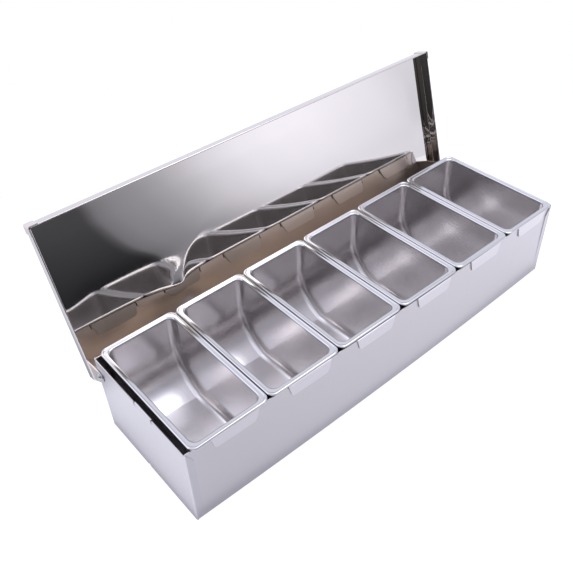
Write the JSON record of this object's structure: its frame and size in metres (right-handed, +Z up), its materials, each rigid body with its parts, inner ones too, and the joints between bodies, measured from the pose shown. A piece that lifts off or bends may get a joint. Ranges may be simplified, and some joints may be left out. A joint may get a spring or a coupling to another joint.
{
  "type": "condiment server with a hinged lid",
  "caption": "Long stainless steel countertop server: a bent sheet housing with a row of lift-out food pans under one hinged lid.",
  "frame": {"origin": "middle of the footprint on the surface that the housing stands on, midway along its length and between its end flanges", "axes": "+X along the row of pans from the first pan to the sixth, +Y to the back where the lid hinges, +Z up"},
  "size_m": [0.4976, 0.2104, 0.2072],
  "materials": {
    "satin_sheet": "satin stainless sheet",
    "lid_sheet": "bright, nearly mirror polished stainless sheet",
    "pan_sheet": "satin drawn stainless with a bright rolled rim",
    "bolt_steel": "plain stainless fasteners"
  },
  "bodies": {
    "housing": {"housing_shell": "satin_sheet", "end_panel_left": "satin_sheet", "end_panel_right": "satin_sheet", "pivot_bolt_left": "bolt_steel", "pivot_bolt_right": "bolt_steel", "pivot_spacer_left": "bolt_steel", "pivot_spacer_right": "bolt_steel", "pivot_washer_left": "bolt_steel", "pivot_washer_right": "bolt_steel", "pivot_nut_left": "bolt_steel", "pivot_nut_right": "bolt_steel"},
    "lid": {"lid_panel": "lid_sheet", "lid_corner_left": "lid_sheet", "lid_corner_right": "lid_sheet", "hinge_bracket_left": "satin_sheet", "hinge_bracket_right": "satin_sheet"},
    "pan_1": {"pan_1": "pan_sheet"},
    "pan_2": {"pan_2": "pan_sheet"},
    "pan_3": {"pan_3": "pan_sheet"},
    "pan_4": {"pan_4": "pan_sheet"},
    "pan_5": {"pan_5": "pan_sheet"},
    "pan_6": {"pan_6": "pan_sheet"}
  },
  "joints": [
    {"name": "lid_hinge", "type": "hinge", "parent": "housing", "child": "lid", "pos_m": [0, 0.06495, 0.0719], "axis": [-1, 0, 0], "range_deg": [-106.56, 36]},
    {"name": "pan_1_lift", "type": "slide", "parent": "housing", "child": "pan_1", "axis": [0, 0, 1], "range_m": [0, 0.1]},
    {"name": "pan_2_lift", "type": "slide", "parent": "housing", "child": "pan_2", "axis": [0, 0, 1], "range_m": [0, 0.1]},
    {"name": "pan_3_lift", "type": "slide", "parent": "housing", "child": "pan_3", "axis": [0, 0, 1], "range_m": [0, 0.1]},
    {"name": "pan_4_lift", "type": "slide", "parent": "housing", "child": "pan_4", "axis": [0, 0, 1], "range_m": [0, 0.1]},
    {"name": "pan_5_lift", "type": "slide", "parent": "housing", "child": "pan_5", "axis": [0, 0, 1], "range_m": [0, 0.1]},
    {"name": "pan_6_lift", "type": "slide", "parent": "housing", "child": "pan_6", "axis": [0, 0, 1], "range_m": [0, 0.1]}
  ]
}
